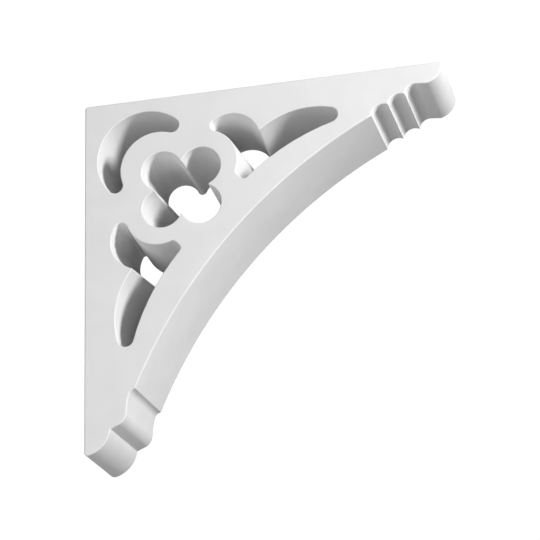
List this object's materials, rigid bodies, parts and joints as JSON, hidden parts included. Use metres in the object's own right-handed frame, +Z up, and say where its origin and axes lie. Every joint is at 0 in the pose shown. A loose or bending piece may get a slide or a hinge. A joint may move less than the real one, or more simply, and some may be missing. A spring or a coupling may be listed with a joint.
{
  "type": "decorative bracket",
  "caption": "Thick square corner bracket with a curved underside, pierced by a quatrefoil, a crescent and two leaf-shaped openings, ending in small mouldings at the tip and foot.",
  "frame": {"origin": "centre of the flat face that meets the wall", "axes": "+X out from the wall along the top face, +Z up, the pierced front face looks towards -Y"},
  "size_m": [0.6143, 0.1396, 0.6138],
  "materials": {
    "primer": "smooth white primer, low sheen"
  },
  "bodies": {
    "root": {"bracket": "primer"}
  },
  "joints": []
}
